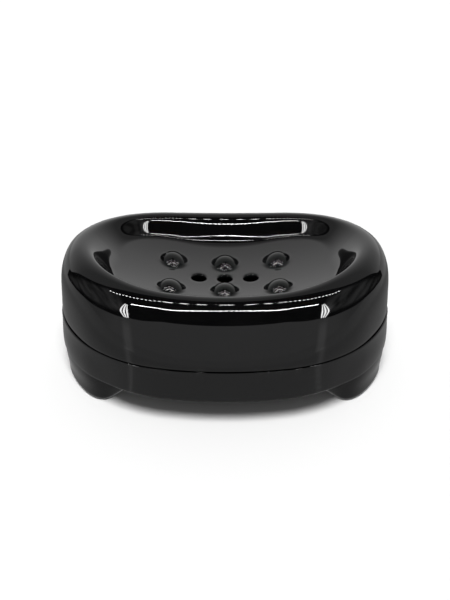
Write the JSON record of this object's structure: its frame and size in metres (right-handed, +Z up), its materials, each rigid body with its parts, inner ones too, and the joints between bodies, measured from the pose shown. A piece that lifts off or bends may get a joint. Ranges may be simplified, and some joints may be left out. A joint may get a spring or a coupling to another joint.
{
  "type": "soap dish",
  "caption": "Oval gloss plastic soap dish: concave tray with round nubs and drain holes, lifting off a hollow drip base that stands on rounded feet.",
  "frame": {"origin": "on the ground under the middle of the dish, at the centre of the bounding box seen from above", "axes": "+Z up, +X along the long side to the right as seen in the picture, -Y towards the viewer"},
  "size_m": [0.13, 0.0982, 0.0538],
  "materials": {
    "tray_plastic": "polished black",
    "base_plastic": "polished black"
  },
  "bodies": {
    "base": {"drip_base": "base_plastic"},
    "tray": {"soap_tray": "tray_plastic"}
  },
  "joints": [
    {"name": "tray_lift", "type": "slide", "parent": "base", "child": "tray", "axis": [0, 0, 1], "range_m": [0, 0.05]}
  ]
}
